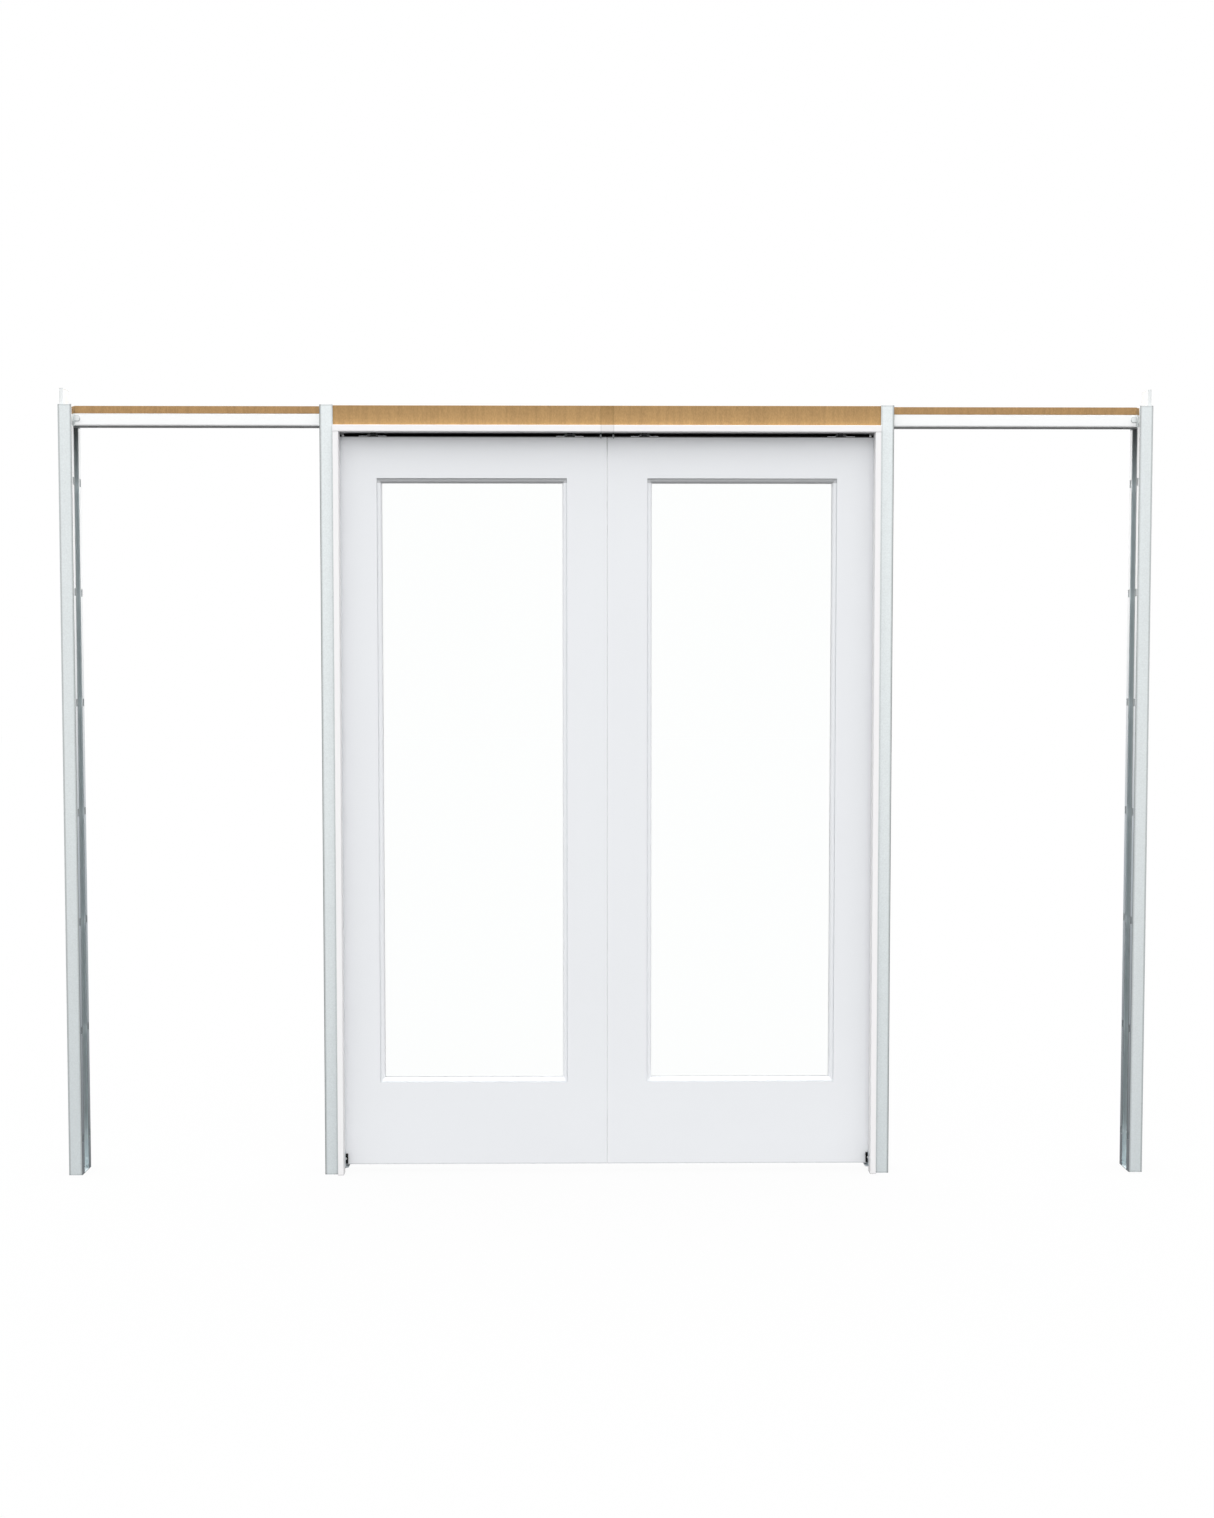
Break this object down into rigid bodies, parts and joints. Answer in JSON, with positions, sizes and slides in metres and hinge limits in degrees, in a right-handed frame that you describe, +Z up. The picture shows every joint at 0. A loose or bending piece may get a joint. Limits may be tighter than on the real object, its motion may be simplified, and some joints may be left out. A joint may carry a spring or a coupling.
{
  "type": "double pocket french doors",
  "caption": "Pair of white one-pane french doors that slide apart on a top track into open pockets, in a pocket frame of slotted steel posts, timber header and primed jambs.",
  "frame": {"origin": "on the floor, at the middle of the opening and of the wall's depth", "axes": "+X along the wall to the right seen from the front, -Y towards the front, +Z up"},
  "size_m": [3.0088, 0.112, 2.183],
  "materials": {
    "galvanised_steel": "galvanised, fine spangle",
    "track_steel": "pale galvanised",
    "header_timber": "planed softwood",
    "primed_jamb": "white primer",
    "white_door": "white satin paint",
    "clear_glass": "clear float",
    "zinc_steel": "zinc plated",
    "black_nylon": "moulded",
    "wheel_nylon": "moulded",
    "trolley_body": "moulded",
    "black_rubber": "moulded"
  },
  "bodies": {
    "frame": {"centre_clips": "zinc_steel", "guide_brackets": "zinc_steel", "guide_pads": "black_nylon", "head_jamb_left_front": "primed_jamb", "head_jamb_left_rear": "primed_jamb", "head_jamb_right_front": "primed_jamb", "head_jamb_right_rear": "primed_jamb", "head_jamb_splices": "primed_jamb", "header_board_left_front": "header_timber", "header_board_left_rear": "header_timber", "header_board_right_front": "header_timber", "header_board_right_rear": "header_timber", "header_board_splices": "header_timber", "header_bracket_left": "galvanised_steel", "header_bracket_right": "galvanised_steel", "header_plank_left": "header_timber", "header_plank_right": "header_timber", "mid_post_left_front": "galvanised_steel", "mid_post_left_rear": "galvanised_steel", "mid_post_right_front": "galvanised_steel", "mid_post_right_rear": "galvanised_steel", "outer_post_left": "galvanised_steel", "outer_post_right": "galvanised_steel", "side_jamb_left_front": "primed_jamb", "side_jamb_left_rear": "primed_jamb", "side_jamb_right_front": "primed_jamb", "side_jamb_right_rear": "primed_jamb", "track_bumpers": "black_rubber", "track_left": "track_steel", "track_right": "track_steel"},
    "left_door": {"left_axles": "zinc_steel", "left_bottom_rail": "white_door", "left_glass": "clear_glass", "left_glazing_frame_front": "white_door", "left_glazing_frame_rear": "white_door", "left_hanger_bolts": "zinc_steel", "left_hanger_plates": "zinc_steel", "left_hanging_stile": "white_door", "left_meeting_stile": "white_door", "left_top_rail": "white_door", "left_trolleys": "trolley_body"},
    "right_door": {"right_axles": "zinc_steel", "right_bottom_rail": "white_door", "right_glass": "clear_glass", "right_glazing_frame_front": "white_door", "right_glazing_frame_rear": "white_door", "right_hanger_bolts": "zinc_steel", "right_hanger_plates": "zinc_steel", "right_hanging_stile": "white_door", "right_meeting_stile": "white_door", "right_top_rail": "white_door", "right_trolleys": "trolley_body"},
    "left_wheelset_1": {"left_wheels_1": "wheel_nylon"},
    "left_wheelset_2": {"left_wheels_2": "wheel_nylon"},
    "left_wheelset_3": {"left_wheels_3": "wheel_nylon"},
    "left_wheelset_4": {"left_wheels_4": "wheel_nylon"},
    "right_wheelset_1": {"right_wheels_1": "wheel_nylon"},
    "right_wheelset_2": {"right_wheels_2": "wheel_nylon"},
    "right_wheelset_3": {"right_wheels_3": "wheel_nylon"},
    "right_wheelset_4": {"right_wheels_4": "wheel_nylon"}
  },
  "joints": [
    {"name": "left_slide", "type": "slide", "parent": "frame", "child": "left_door", "axis": [-1, 0, 0], "range_m": [0, 0.73]},
    {"name": "right_slide", "type": "slide", "parent": "frame", "child": "right_door", "axis": [1, 0, 0], "range_m": [0, 0.73]},
    {"name": "left_roll_1", "type": "hinge", "parent": "left_door", "child": "left_wheelset_1", "pos_m": [-0.1224, 0, 2.0934], "axis": [0, 1, 0], "range_deg": [-3810, 0]},
    {"name": "left_roll_2", "type": "hinge", "parent": "left_door", "child": "left_wheelset_2", "pos_m": [-0.0844, 0, 2.0934], "axis": [0, 1, 0], "range_deg": [-3810, 0]},
    {"name": "left_roll_3", "type": "hinge", "parent": "left_door", "child": "left_wheelset_3", "pos_m": [-0.6664, 0, 2.0934], "axis": [0, 1, 0], "range_deg": [-3810, 0]},
    {"name": "left_roll_4", "type": "hinge", "parent": "left_door", "child": "left_wheelset_4", "pos_m": [-0.6284, 0, 2.0934], "axis": [0, 1, 0], "range_deg": [-3810, 0]},
    {"name": "right_roll_1", "type": "hinge", "parent": "right_door", "child": "right_wheelset_1", "pos_m": [0.0844, 0, 2.0934], "axis": [0, 1, 0], "range_deg": [0, 3810]},
    {"name": "right_roll_2", "type": "hinge", "parent": "right_door", "child": "right_wheelset_2", "pos_m": [0.1224, 0, 2.0934], "axis": [0, 1, 0], "range_deg": [0, 3810]},
    {"name": "right_roll_3", "type": "hinge", "parent": "right_door", "child": "right_wheelset_3", "pos_m": [0.6284, 0, 2.0934], "axis": [0, 1, 0], "range_deg": [0, 3810]},
    {"name": "right_roll_4", "type": "hinge", "parent": "right_door", "child": "right_wheelset_4", "pos_m": [0.6664, 0, 2.0934], "axis": [0, 1, 0], "range_deg": [0, 3810]}
  ],
  "couplings": [
    {"joint": "left_roll_1", "follows": "left_slide", "rad_per_m": -90.909},
    {"joint": "left_roll_2", "follows": "left_slide", "rad_per_m": -90.909},
    {"joint": "left_roll_3", "follows": "left_slide", "rad_per_m": -90.909},
    {"joint": "left_roll_4", "follows": "left_slide", "rad_per_m": -90.909},
    {"joint": "right_roll_1", "follows": "right_slide", "rad_per_m": 90.909},
    {"joint": "right_roll_2", "follows": "right_slide", "rad_per_m": 90.909},
    {"joint": "right_roll_3", "follows": "right_slide", "rad_per_m": 90.909},
    {"joint": "right_roll_4", "follows": "right_slide", "rad_per_m": 90.909}
  ]
}
